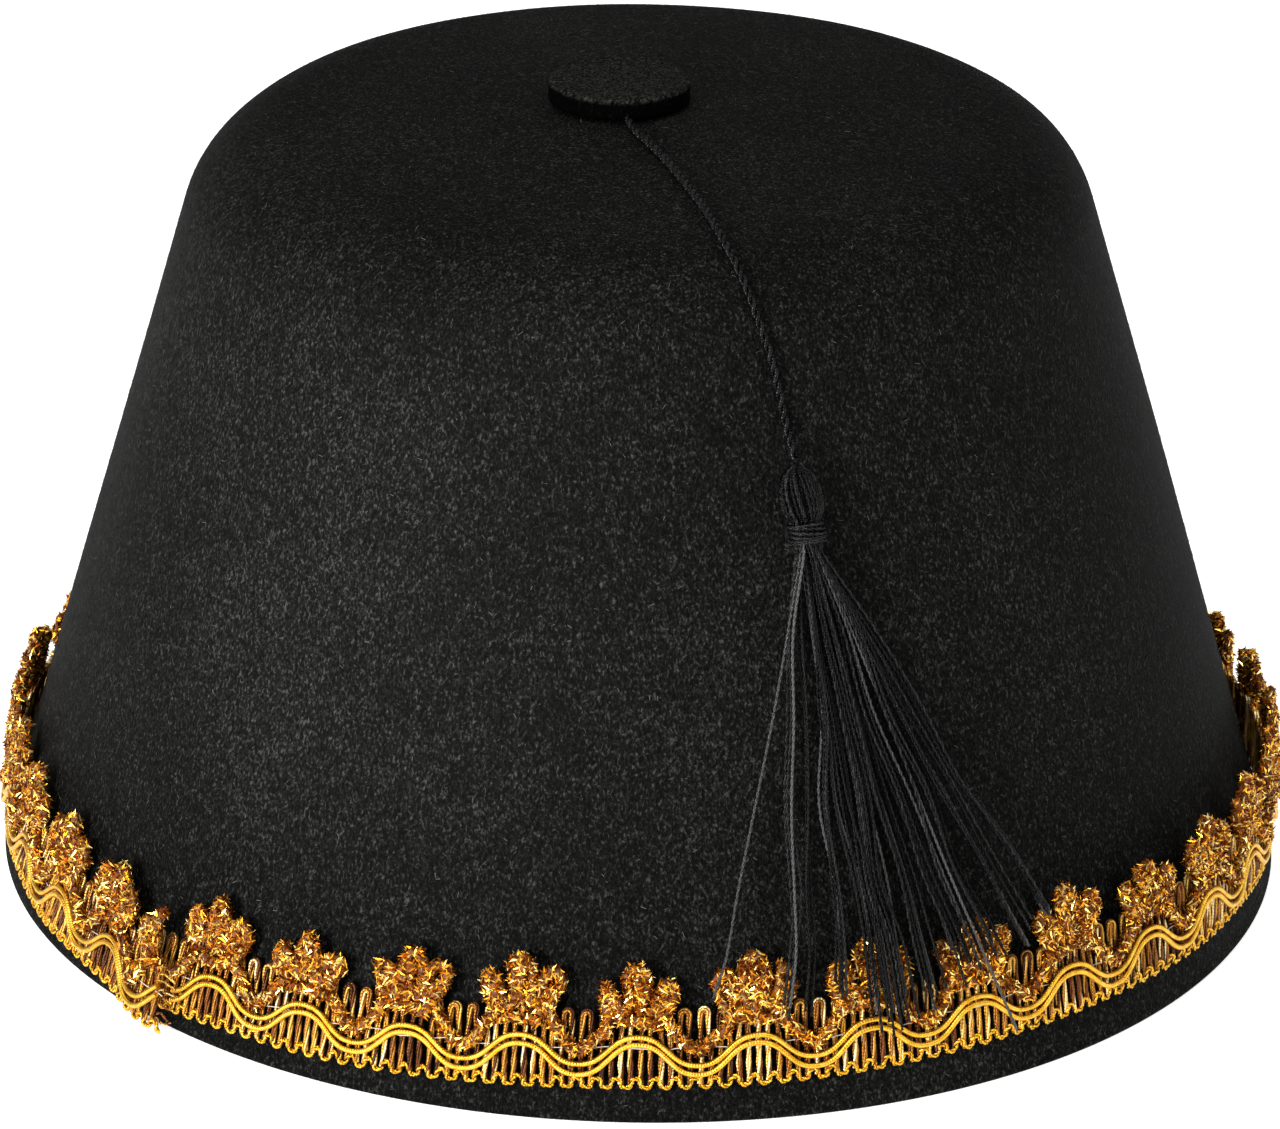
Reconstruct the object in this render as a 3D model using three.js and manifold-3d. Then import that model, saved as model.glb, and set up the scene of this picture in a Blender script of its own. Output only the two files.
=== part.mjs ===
// A felt fez: a hollow moulded crown, a felt button on top, a braid trim round the rim and a corded tassel.
// Millimetres, +Z up. The origin is the middle of the rim, on the surface that the hat rests on.
// Angles run from the front of the hat, which faces -Y, round to its right-hand side, which is +X.
import * as THREE from 'three';
import { mergeVertices } from 'three/addons/utils/BufferGeometryUtils.js';
import Module from 'manifold-3d';

const wasm = await Module();
wasm.setup();

const { PI, sin, cos, tan, atan2 } = Math;
const { degToRad, lerp, smoothstep } = THREE.MathUtils;

// Crown: one felt wall, drawn as half a section and turned round the axis
const rimRadius = 96;
const cornerRadius = 62.9; // where the straight side would meet the top, before the edge is rounded
const cornerHeight = 112.8;
const edgeRound = 17.4;
const topTilt = 0.091; // the top's slope where it meets the rounded edge, in radians
const feltWall = 2;
const crownSteps = 64;
const outerArcSteps = 6;
const innerArcSteps = 5;
const domeSteps = 3;

// The rim is a little longer from front right to back left. This fades out towards the top.
const ovalShare = 0.0118;
const ovalAngle = degToRad(45);

// Button
const buttonRadius = 10.5;
const buttonThick = 3.3;
const buttonEdge = 0.6;
const buttonPlace = new THREE.Vector2(-2.9, 0);
const buttonSteps = 32;

// Trim: places along it are counted in motifs, from the middle of the first one
const motifCount = 36;
const motifAngle = degToRad(9.91);
const firstMotifAngle = degToRad(-39.5);
const motifLength = motifAngle * rimRadius;
const stripStart = -0.85; // hidden under the lap
const stripEnd = 35.9;
const pieceGap = 0.3;
const trimGap = 0.4;
const bandHeight = 11.5;
const bandThick = 0.6;
const bandStepsPerMotif = 2;

// Sewn on by hand, the trim wanders: the height of its lower edge above the rim, and its lean from upright.
// It never leans as far as the felt behind it, so its top stands free.
const sewing = [
  { motif: -0.85, height: 2.5, lean: 0.25 },
  { motif: 0.5, height: 3.3, lean: 0.25 },
  { motif: 4, height: 4.9, lean: 0.22 },
  { motif: 8.3, height: 5.8, lean: 0.17 },
  { motif: 10.3, height: 5.2, lean: 0.13 },
  { motif: 12.5, height: 4.2, lean: 0.08 },
  { motif: 15, height: 4.0, lean: 0.06 },
  { motif: 21, height: 4.6, lean: 0.12 },
  { motif: 29.5, height: 4.4, lean: 0.13 },
  { motif: 32.6, height: 3.9, lean: 0.25 },
  { motif: 33.9, height: 2.4, lean: 0.26 },
  { motif: 36, height: 0.6, lean: 0.24 },
];

// The free end of the strip stands out over its start
const lapLift = 2.5;
const lapFrom = 34.9;
const lapTo = 35.7;

// Wave cords: both have a crest under each motif and a trough between motifs
const waveDiameter = 0.8;
const waveSwing = 2.1;
const waveStepsPerMotif = 6;
const waveStart = -0.45;
const waveEnd = 35.85;
const waveOut = bandThick + 1.5 * pieceGap + waveDiameter / 2; // the cords' facets dip towards the band
const waveRises = { trim_wave_upper: 6.0, trim_wave_lower: 4.6 };

// Shells: half of one motif, from its middle line to the foot of the leg that it shares with the next one
const shellThick = 1.2;
const shellIn = bandThick + 1.5 * pieceGap; // flat facets of the plate dip towards the band
const shellOut = shellIn + shellThick;
const bodyFoot = 9.5;
const bodyCorner = new THREE.Vector2(3.4, 9.2);
const legFoot = 4.9;
const legTop = 6.9;
const legShoulder = new THREE.Vector2(4.6, 10.6);
const sideLobe = { along: 4.1, rise: 14.5, radius: 1.95, from: degToRad(-70), to: degToRad(150), steps: 4 };
const midLobe = { along: 0, rise: 16.3, radius: 2.6, from: degToRad(-12), to: degToRad(90), steps: 2 };
const endShell = 35.8; // half a shell, pinched, where the strip was cut

// Tassel cord: out from under the button, over the top's edge and down the side to the tassel's head
const cordDiameter = 1.3;
const cordSides = 8;
const cordStep = 2.2 * cordDiameter;
const cordRoute = [
  [-1.6, -11.2, 117.3],
  [-0.6, -14.8, 117.1],
  [0.8, -18.1, 116.9],
  [2.9, -23.4, 116.7],
  [5.0, -29.7, 116.3],
  [7.1, -36.4, 115.9],
  [9.1, -43.2, 115.4],
  [11.1, -51.0, 114.7],
  [13.1, -56.8, 112.7],
  [14.9, -60.4, 109.7],
  [16.5, -63.1, 106.1],
  [17.9, -64.6, 102.3],
  [19.0, -65.7, 97.9],
  [20.1, -66.9, 93.2],
  [20.8, -68.5, 90.6],
  [21.4, -69.9, 88.9],
];

// Tassel: a round head, a bound neck, and locks that hang from the neck and out over the trim
const headTop = new THREE.Vector3(21.5, -70.4, 88.2);
const neckFoot = new THREE.Vector3(23.4, -73.4, 76.2);
const headLength = 8;
const neckRadius = 2.1;
const headSteps = 12;

// The head's outline, as a share of its length and the radius there
const headShape = [
  { share: 0.3, radius: 3 },
  { share: 0.6, radius: 3 },
  { share: 0.9, radius: 2.1 },
  { share: 1, radius: 1.05 },
];

const bindingIn = 2.4;
const bindingOut = 2.75;
const bindingHeight = 3;
const bindingFoot = 1.5; // above the neck's foot, where the locks come out
const bindingSteps = 20;

const lockThick = 1.2;
const lockRoot = { width: 1.8, thick: 2.2, spread: 1.5, rise: 1 };
const lockPassHeight = 25; // the locks pass over the tips of the shells at this height
const lockClear = 0.5;

// Where each lock ends: angle round the hat in degrees, height above the rim, and width
const locks = [
  { angle: 12.8, height: 17.2, width: 4.5 },
  { angle: 16.2, height: 18.5, width: 5.5 },
  { angle: 19.8, height: 16.0, width: 5.8 },
  { angle: 23.2, height: 13.6, width: 5.8 },
  { angle: 26.8, height: 16.6, width: 5.8 },
  { angle: 30.6, height: 18.6, width: 5.6 },
  { angle: 34.6, height: 23.4, width: 5.0 },
];

const mergeWithin = 1e-3;
const sideTilt = atan2(rimRadius - cornerRadius, cornerHeight);
const sideSlope = tan(sideTilt);
const topSlope = tan(topTilt);

const felt = new THREE.MeshStandardMaterial({ color: 0x1d1d1c, roughness: 0.95, metalness: 0 });
const feltButton = new THREE.MeshStandardMaterial({ color: 0x191919, roughness: 0.95, metalness: 0 });
const braidGround = new THREE.MeshStandardMaterial({ color: 0x8a5a1c, roughness: 0.5, metalness: 0.4 });
const chenille = new THREE.MeshStandardMaterial({ color: 0xa86418, roughness: 0.45, metalness: 0.5 });
const goldCord = new THREE.MeshStandardMaterial({ color: 0xe0b13a, roughness: 0.35, metalness: 0.6 });
const blackSilk = new THREE.MeshStandardMaterial({ color: 0x121212, roughness: 0.5, metalness: 0 });

// A point of the hat at an angle from the front, a distance from the axis and a height, with the oval put in
function hatPoint(angle, radius, height) {
  const stretch = 1 + ovalShare * (1 - height / cornerHeight) * cos(2 * (angle - ovalAngle));
  return new THREE.Vector3(radius * stretch * sin(angle), -radius * stretch * cos(angle), height);
}

function sideRadius(height) {
  return rimRadius - height * sideSlope;
}

function arcPoints(centre, radius, from, to, steps) {
  const points = [];
  for (let i = 0; i <= steps; i += 1) {
    const angle = lerp(from, to, i / steps);
    points.push(new THREE.Vector2(centre.x + radius * cos(angle), centre.y + radius * sin(angle)));
  }
  return points;
}

// Half a section of the crown, from rim to axis, set in from the outer face
function crownProfile(inset, arcSteps) {
  const rim = rimRadius - inset / cos(sideTilt);
  const topStart = cornerHeight + topSlope * cornerRadius - inset / cos(topTilt);
  const cornerZ = (topStart - topSlope * rim) / (1 - topSlope * sideSlope);
  const corner = new THREE.Vector2(rim - cornerZ * sideSlope, cornerZ);
  const round = edgeRound - inset;
  const tangent = round * tan((PI / 2 - sideTilt - topTilt) / 2);
  const downSide = new THREE.Vector2(sin(sideTilt), -cos(sideTilt));
  const outOfSide = new THREE.Vector2(cos(sideTilt), sin(sideTilt));
  const arcStart = corner.clone().addScaledVector(downSide, tangent);
  const centre = arcStart.clone().addScaledVector(outOfSide, -round);
  const arc = arcPoints(centre, round, sideTilt, PI / 2 - topTilt, arcSteps);
  const arcEnd = arc[arcSteps];
  const dome = [];
  for (let i = 1; i <= domeSteps; i += 1) {
    const radius = arcEnd.x * (1 - i / domeSteps);
    const rise = (topSlope * (arcEnd.x ** 2 - radius ** 2)) / (2 * arcEnd.x);
    dome.push(new THREE.Vector2(radius, arcEnd.y + rise));
  }
  return [new THREE.Vector2(rim, 0), ...arc, ...dome];
}

function turned(profile, steps) {
  return new THREE.LatheGeometry(profile, steps).rotateX(PI / 2);
}

function crownGeometry() {
  const inside = crownProfile(feltWall, innerArcSteps).reverse();
  const outside = crownProfile(0, outerArcSteps);
  const geometry = turned([...inside, ...outside], crownSteps);
  const place = geometry.attributes.position;
  const point = new THREE.Vector3();
  for (let i = 0; i < place.count; i += 1) {
    point.fromBufferAttribute(place, i);
    const radius = Math.hypot(point.x, point.y);
    point.copy(hatPoint(atan2(point.x, -point.y), radius, point.z));
    place.setXYZ(i, point.x, point.y, point.z);
  }
  geometry.computeVertexNormals();
  return geometry;
}

const crownTop = crownProfile(0, outerArcSteps).at(-1).y;

function buttonGeometry() {
  const outer = buttonRadius - buttonEdge;
  const profile = [
    new THREE.Vector2(0, 0),
    new THREE.Vector2(outer, 0),
    new THREE.Vector2(buttonRadius, buttonEdge),
    new THREE.Vector2(buttonRadius, buttonThick - buttonEdge),
    new THREE.Vector2(outer, buttonThick),
    new THREE.Vector2(0, buttonThick),
  ];
  return turned(profile, buttonSteps);
}

function sewnAt(motif) {
  const next = Math.max(1, sewing.findIndex((row) => row.motif >= motif));
  const [a, b] = [sewing[next - 1], sewing[next]];
  const share = smoothstep(motif, a.motif, b.motif);
  return { foot: lerp(a.height, b.height, share), lean: lerp(a.lean, b.lean, share) };
}

// A point of the trim: place along it, rise above its lower edge, and distance out from its back face
function trimPoint(motif, rise, out) {
  const { foot, lean } = sewnAt(motif);
  const lift = lapLift * smoothstep(motif, lapFrom, lapTo);
  const radius = sideRadius(foot) + trimGap + lift + out - rise * sin(lean);
  return hatPoint(firstMotifAngle + motif * motifAngle, radius, foot + rise * cos(lean));
}

function meshGeometry(points, index) {
  const geometry = new THREE.BufferGeometry();
  const places = points.flatMap((point) => point.toArray());
  geometry.setAttribute('position', new THREE.Float32BufferAttribute(places, 3));
  geometry.setIndex(index);
  return geometry;
}

// A closed solid through rings of points, which run anticlockwise seen from the far end
function loft(rings) {
  const sides = rings[0].length;
  const index = [];
  for (let ring = 0; ring < rings.length - 1; ring += 1) {
    for (let side = 0; side < sides; side += 1) {
      const a = ring * sides + side;
      const b = ring * sides + ((side + 1) % sides);
      index.push(a, b, b + sides, a, b + sides, a + sides);
    }
  }
  const last = (rings.length - 1) * sides;
  for (let side = 1; side < sides - 1; side += 1) {
    index.push(0, side + 1, side);
    index.push(last, last + side, last + side + 1);
  }
  return meshGeometry(rings.flat(), index);
}

// A strip along the trim, whose section is a list of [rise, out] pairs
function trimStrip(from, to, stepsPerMotif, sectionAt) {
  const steps = Math.ceil((to - from) * stepsPerMotif);
  const rings = [];
  for (let i = 0; i <= steps; i += 1) {
    const motif = lerp(from, to, i / steps);
    rings.push(sectionAt(motif).map(([rise, out]) => trimPoint(motif, rise, out)));
  }
  return loft(rings);
}

function bandGeometry() {
  const section = [[0, 0], [bandHeight, 0], [bandHeight, bandThick], [0, bandThick]];
  return trimStrip(stripStart, stripEnd, bandStepsPerMotif, () => section);
}

function waveGeometry(middle) {
  const half = waveDiameter / 2;
  return trimStrip(waveStart, waveEnd, waveStepsPerMotif, (motif) => {
    const rise = middle + waveSwing * cos(2 * PI * motif);
    return [[rise + half, waveOut], [rise, waveOut + half], [rise - half, waveOut], [rise, waveOut - half]];
  });
}

function halfShellOutline() {
  const leg = motifLength / 2;
  const lobeArc = (lobe) =>
    arcPoints(new THREE.Vector2(lobe.along, lobe.rise), lobe.radius, lobe.from, lobe.to, lobe.steps);
  return [
    new THREE.Vector2(0, bodyFoot),
    bodyCorner,
    new THREE.Vector2(leg, legFoot),
    new THREE.Vector2(leg, legTop),
    legShoulder,
    ...lobeArc(sideLobe),
    ...lobeArc(midLobe),
  ];
}

// The whole row of shells as one plate: each motif is a half outline and its mirror image
function shellsGeometry() {
  const outline = halfShellOutline();
  const faces = THREE.ShapeUtils.triangulateShape(outline, []);
  const legEdge = 2;
  const middleEdge = outline.length - 1;
  const halves = [];
  for (let motif = 0; motif < motifCount; motif += 1) {
    halves.push({ motif, side: -1, pinch: 1 }, { motif, side: 1, pinch: 1 });
  }
  halves.push({ motif: endShell, side: -1, pinch: 2 * (endShell - motifCount + 0.5) });

  const points = [];
  const index = [];
  halves.forEach(({ motif, side, pinch }, order) => {
    const front = points.length;
    const back = front + outline.length;
    for (const out of [shellOut, shellIn]) {
      points.push(...outline.map((p) => trimPoint(motif + (side * pinch * p.x) / motifLength, p.y, out)));
    }
    const face = (a, b, c) => index.push(...(side > 0 ? [a, b, c] : [a, c, b]));
    for (const [a, b, c] of faces) {
      face(front + a, front + b, front + c);
      face(back + a, back + c, back + b);
    }
    const openEdge = { 0: legEdge, [halves.length - 1]: middleEdge }[order];
    outline.forEach((_, a) => {
      if ((a === legEdge || a === middleEdge) && a !== openEdge) return;
      const b = (a + 1) % outline.length;
      face(front + a, back + a, back + b);
      face(front + a, back + b, front + b);
    });
  });
  return mergeVertices(meshGeometry(points, index), mergeWithin);
}

function cordGeometry() {
  const path = new THREE.CatmullRomCurve3(cordRoute.map((place) => new THREE.Vector3(...place)));
  const corners = arcPoints(new THREE.Vector2(), cordDiameter / 2, 0, 2 * PI, cordSides).slice(0, cordSides);
  const steps = Math.ceil(path.getLength() / cordStep);
  const options = { steps, extrudePath: path, bevelEnabled: false };
  return new THREE.ExtrudeGeometry(new THREE.Shape(corners), options);
}

// Turns a profile drawn up from the tassel's neck so that it stands along the tassel's own axis
const tasselAxis = headTop.clone().sub(neckFoot);
const tasselLength = tasselAxis.length();
tasselAxis.normalize();

function onTasselAxis(geometry, distance) {
  const turn = new THREE.Quaternion().setFromUnitVectors(new THREE.Vector3(0, 0, 1), tasselAxis);
  const place = neckFoot.clone().addScaledVector(tasselAxis, distance);
  return geometry.applyQuaternion(turn).translate(place.x, place.y, place.z);
}

function headGeometry() {
  const bulbFoot = tasselLength - headLength;
  const profile = [
    new THREE.Vector2(0, 0),
    new THREE.Vector2(neckRadius, 0),
    new THREE.Vector2(neckRadius, bulbFoot),
    ...headShape.map(({ share, radius }) => new THREE.Vector2(radius, bulbFoot + headLength * share)),
    new THREE.Vector2(0, tasselLength),
  ];
  return onTasselAxis(turned(profile, headSteps), 0);
}

// A lock is a flat strip: a root in the neck, a stretch in the air, a pass over the shells and an end
function lockGeometry(lock, order) {
  const angle = degToRad(lock.angle);
  const across = new THREE.Vector3(cos(angle), sin(angle), 0);
  const outward = new THREE.Vector3(sin(angle), -cos(angle), 0);
  const overTrim = (height) => {
    const { foot, lean } = sewnAt((angle - firstMotifAngle) / motifAngle);
    const shells = sideRadius(foot) + trimGap + shellOut - (height - foot) * tan(lean);
    return hatPoint(angle, shells + lockClear + lockThick / 2, height);
  };
  const side = lerp(-1, 1, order / (locks.length - 1));
  const root = neckFoot.clone().addScaledVector(tasselAxis, lockRoot.rise);
  root.addScaledVector(across, side * lockRoot.spread);
  const pass = overTrim(lockPassHeight);
  const middle = root.clone().lerp(pass, 0.5);
  const stations = [
    { place: root, width: lockRoot.width, thick: lockRoot.thick },
    { place: middle, width: lerp(lockRoot.width, lock.width, 0.5), thick: (lockRoot.thick + lockThick) / 2 },
    { place: pass, width: lock.width, thick: lockThick },
    { place: overTrim(lock.height - 1), width: lock.width * 0.9, thick: lockThick },
  ];
  const section = [[0.5, 0], [0.25, 0.5], [-0.25, 0.5], [-0.5, 0], [-0.25, -0.5], [0.25, -0.5]];
  const ringAt = ({ place, width, thick }) => section.map(([x, y]) => {
    const shift = across.clone().multiplyScalar(x * width).addScaledVector(outward, y * thick);
    return place.clone().add(shift);
  });
  return loft(stations.map(ringAt));
}

function toSolid(geometry) {
  const bare = geometry.clone();
  bare.deleteAttribute('normal');
  bare.deleteAttribute('uv');
  const merged = mergeVertices(bare, mergeWithin);
  const vertProperties = new Float32Array(merged.attributes.position.array);
  const triVerts = new Uint32Array(merged.index.array);
  return new wasm.Manifold(new wasm.Mesh({ numProp: 3, vertProperties, triVerts }));
}

function fromSolid(solid) {
  const { vertProperties, triVerts } = solid.getMesh();
  const geometry = new THREE.BufferGeometry();
  geometry.setAttribute('position', new THREE.BufferAttribute(vertProperties, 3));
  geometry.setIndex(new THREE.BufferAttribute(triVerts, 1));
  return geometry;
}

function tasselGeometry() {
  const hanging = locks.map((lock, order) => toSolid(lockGeometry(lock, order)));
  return fromSolid(hanging.reduce((whole, lock) => whole.add(lock), toSolid(headGeometry())));
}

function bindingGeometry() {
  const round = (bindingOut - bindingIn) / 2;
  const profile = [
    new THREE.Vector2(bindingIn, 0),
    new THREE.Vector2(bindingOut - round, 0),
    new THREE.Vector2(bindingOut, round),
    new THREE.Vector2(bindingOut, bindingHeight - round),
    new THREE.Vector2(bindingOut - round, bindingHeight),
    new THREE.Vector2(bindingIn, bindingHeight),
    new THREE.Vector2(bindingIn, 0),
  ];
  return onTasselAxis(turned(profile, bindingSteps), bindingFoot);
}

const hat = new THREE.Group();

function addPiece(name, geometry, material) {
  geometry.computeVertexNormals();
  const piece = new THREE.Mesh(geometry, material);
  piece.name = name;
  hat.add(piece);
  return piece;
}

addPiece('crown', crownGeometry(), felt);
const button = addPiece('button', buttonGeometry(), feltButton);
button.position.set(buttonPlace.x, buttonPlace.y, crownTop + pieceGap);
addPiece('trim_band', bandGeometry(), braidGround);
addPiece('trim_shells', shellsGeometry(), chenille);
for (const [name, rise] of Object.entries(waveRises)) addPiece(name, waveGeometry(rise), goldCord);
addPiece('tassel_cord', cordGeometry(), blackSilk);
addPiece('tassel', tasselGeometry(), blackSilk);
addPiece('tassel_binding', bindingGeometry(), blackSilk);

export default hat;
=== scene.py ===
import math
import random

import bpy
import numpy as np
from mathutils import Matrix, Vector


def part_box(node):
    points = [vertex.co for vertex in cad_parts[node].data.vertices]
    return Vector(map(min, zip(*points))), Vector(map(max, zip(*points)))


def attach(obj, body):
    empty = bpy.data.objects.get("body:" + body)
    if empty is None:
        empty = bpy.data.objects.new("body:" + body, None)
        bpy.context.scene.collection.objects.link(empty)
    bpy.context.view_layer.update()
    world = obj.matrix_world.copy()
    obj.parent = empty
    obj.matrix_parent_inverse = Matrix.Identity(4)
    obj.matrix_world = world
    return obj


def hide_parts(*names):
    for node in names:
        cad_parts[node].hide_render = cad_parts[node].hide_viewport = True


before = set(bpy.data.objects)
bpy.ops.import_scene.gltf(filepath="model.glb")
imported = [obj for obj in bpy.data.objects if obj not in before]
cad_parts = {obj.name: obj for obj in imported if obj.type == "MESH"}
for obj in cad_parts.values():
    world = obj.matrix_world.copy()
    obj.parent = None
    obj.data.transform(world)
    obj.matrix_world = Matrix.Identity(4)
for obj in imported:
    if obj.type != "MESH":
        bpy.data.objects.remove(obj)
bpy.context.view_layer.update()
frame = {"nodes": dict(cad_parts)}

mm = 0.001               # sizes below are in millimetres, and every mesh is in metres
body = "root"            # nothing moves on this hat, so every piece rides on the one body
print("frame loaded:", ", ".join(frame["nodes"]))


# Camera, floor and light

view = {
    "place": (0.0, -870.6, 414.4),
    "aim": (0.3, 0.0, 43.2),
    "lens": 178.1,
    "sensor": 36,
    "clip": (0.05, 50),      # in metres
    "roll": 0.0037,
}
studio = {
    "floorSize": 6000,
    "floorTone": (0.93, 0.93, 0.92, 1),
    "floorRoughness": 0.9,
    "worldTone": (1.0, 1.0, 1.0, 1),
    "worldStrength": 0.36,
    "floorGlow": 0.62,       # keeps the backdrop white, with only a faint shadow
    "lamps": [               # name, place, size and power of each soft lamp
        ("keyLamp", (-800, -1040, 340), 520, 24),
        ("topLamp", (-200, -500, 1500), 900, 13),
        ("rightLamp", (1200, -300, 700), 700, 6),
    ],
    "lampAim": (0, 0, 50),
    "gleam": {               # a spot for the soft pool of light on the front's left
        "place": (-620, -900, 330), "aim": (-38, -66, 68), "angle": math.radians(6.5), "blend": 1.0,
        "size": 30, "power": 80},
}


def lookAt(place, aim, roll=0.0):
    heading = (Vector(aim) - Vector(place)).normalized()
    turn = heading.to_track_quat("-Z", "Y").to_matrix().to_4x4()
    return Matrix.Translation(Vector(place) * mm) @ turn @ Matrix.Rotation(roll, 4, "Z")


def setStudio():
    scene = bpy.context.scene
    lens = bpy.data.cameras.new("photoCamera")
    lens.lens = view["lens"]
    lens.sensor_width = view["sensor"]
    lens.clip_start, lens.clip_end = view["clip"]
    camera = bpy.data.objects.new("photoCamera", lens)
    camera.matrix_world = lookAt(view["place"], view["aim"], view["roll"])
    scene.collection.objects.link(camera)
    scene.camera = camera

    half = studio["floorSize"] * mm / 2
    corners = [(-half, -half, 0), (half, -half, 0), (half, half, 0), (-half, half, 0)]
    sheet = bpy.data.meshes.new("paleFloor")
    sheet.from_pydata(corners, [], [(0, 1, 2, 3)])
    floor = bpy.data.objects.new("paleFloor", sheet)
    scene.collection.objects.link(floor)
    paint = bpy.data.materials.new("paleFloor")
    paint.use_nodes = True
    shader = paint.node_tree.nodes["Principled BSDF"]
    shader.inputs["Base Color"].default_value = studio["floorTone"]
    shader.inputs["Roughness"].default_value = studio["floorRoughness"]
    shader.inputs["Emission Color"].default_value = studio["floorTone"]
    shader.inputs["Emission Strength"].default_value = studio["floorGlow"]
    sheet.materials.append(paint)

    world = bpy.data.worlds.new("softWhite")
    world.use_nodes = True
    world.node_tree.nodes["Background"].inputs["Color"].default_value = studio["worldTone"]
    world.node_tree.nodes["Background"].inputs["Strength"].default_value = studio["worldStrength"]
    scene.world = world
    for name, place, size, power in studio["lamps"]:
        lamp = bpy.data.lights.new(name, "AREA")
        lamp.size = size * mm
        lamp.energy = power
        holder = bpy.data.objects.new(name, lamp)
        holder.matrix_world = lookAt(place, studio["lampAim"])
        scene.collection.objects.link(holder)
    spot = studio["gleam"]
    gleam = bpy.data.lights.new("gleamLamp", "SPOT")
    gleam.energy = spot["power"]
    gleam.spot_size = spot["angle"]
    gleam.spot_blend = spot["blend"]
    gleam.shadow_soft_size = spot["size"] * mm
    holder = bpy.data.objects.new("gleamLamp", gleam)
    holder.matrix_world = lookAt(spot["place"], spot["aim"])
    scene.collection.objects.link(holder)
    scene.view_settings.view_transform = "Standard"


setStudio()
print("camera, floor and lamps set")


# Node trees: sums of wires add Math nodes, and make adds any other node

class Wire:
    def __init__(self, tree, socket=None):
        self.tree = tree
        self.socket = socket

    @staticmethod
    def pick(sockets, key):
        if isinstance(key, int):
            return sockets[key]
        named = [one for one in sockets if one.identifier == key]
        return named[0] if named else sockets[key]

    def make(self, kind, settings=None, sockets=None, out=0):
        node = self.tree.nodes.new(kind)
        for key, value in (settings or {}).items():
            if key == "stops":
                fillRamp(node.color_ramp, value)
            else:
                setattr(node, key, value)
        for key, value in (sockets or {}).items():
            target = self.pick(node.inputs, key)
            if isinstance(value, Wire):
                self.tree.links.new(value.socket, target)
            else:
                target.default_value = value
        return Wire(self.tree, self.pick(node.outputs, out))

    def sibling(self, out):
        return Wire(self.tree, self.pick(self.socket.node.outputs, out))

    def maths(self, operation, *values):
        return self.make("ShaderNodeMath", {"operation": operation}, dict(enumerate(values)))

    def __add__(self, other):
        return self.maths("ADD", self, other)

    def __radd__(self, other):
        return self.maths("ADD", other, self)

    def __sub__(self, other):
        return self.maths("SUBTRACT", self, other)

    def __mul__(self, other):
        return self.maths("MULTIPLY", self, other)

    def __truediv__(self, other):
        return self.maths("DIVIDE", self, other)


def fillRamp(ramp, stops):
    while len(ramp.elements) < len(stops):
        ramp.elements.new(1.0)
    for element, (place, tone) in zip(ramp.elements, stops):
        element.position = place
        element.color = (*tone, 1)


def startTree(name, inputs):
    tree = bpy.data.node_groups.new(name, "GeometryNodeTree")
    tree.interface.new_socket("Geometry", in_out="INPUT", socket_type="NodeSocketGeometry")
    for label, kind in inputs.items():
        tree.interface.new_socket(label, in_out="INPUT", socket_type="NodeSocket" + kind)
    tree.interface.new_socket("Geometry", in_out="OUTPUT", socket_type="NodeSocketGeometry")
    entry = tree.nodes.new("NodeGroupInput")
    return tree, {socket.name: Wire(tree, socket) for socket in entry.outputs if socket.name}


def endTree(tree, geometry, material):
    real = geometry.make("GeometryNodeRealizeInstances", {}, {"Geometry": geometry})
    dressed = real.make("GeometryNodeSetMaterial", {}, {"Geometry": real, "Material": material})
    tree.links.new(dressed.socket, tree.nodes.new("NodeGroupOutput").inputs[0])
    return tree


def chance(wire, low, high, seed, identity=None):
    sockets = {"Min_001": low, "Max_001": high, "Seed": seed}
    if identity is not None:
        sockets["ID"] = identity
    return wire.make("FunctionNodeRandomValue", {"data_type": "FLOAT"}, sockets, "Value_001")


def tagPoints(geometry, name, value, domain="POINT"):
    settings = {"data_type": "FLOAT", "domain": domain}
    return geometry.make("GeometryNodeStoreNamedAttribute", settings,
                         {"Geometry": geometry, "Name": name, "Value": value})


# Yarn: each line of the host becomes a few round plies laid round it in a helix

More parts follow.
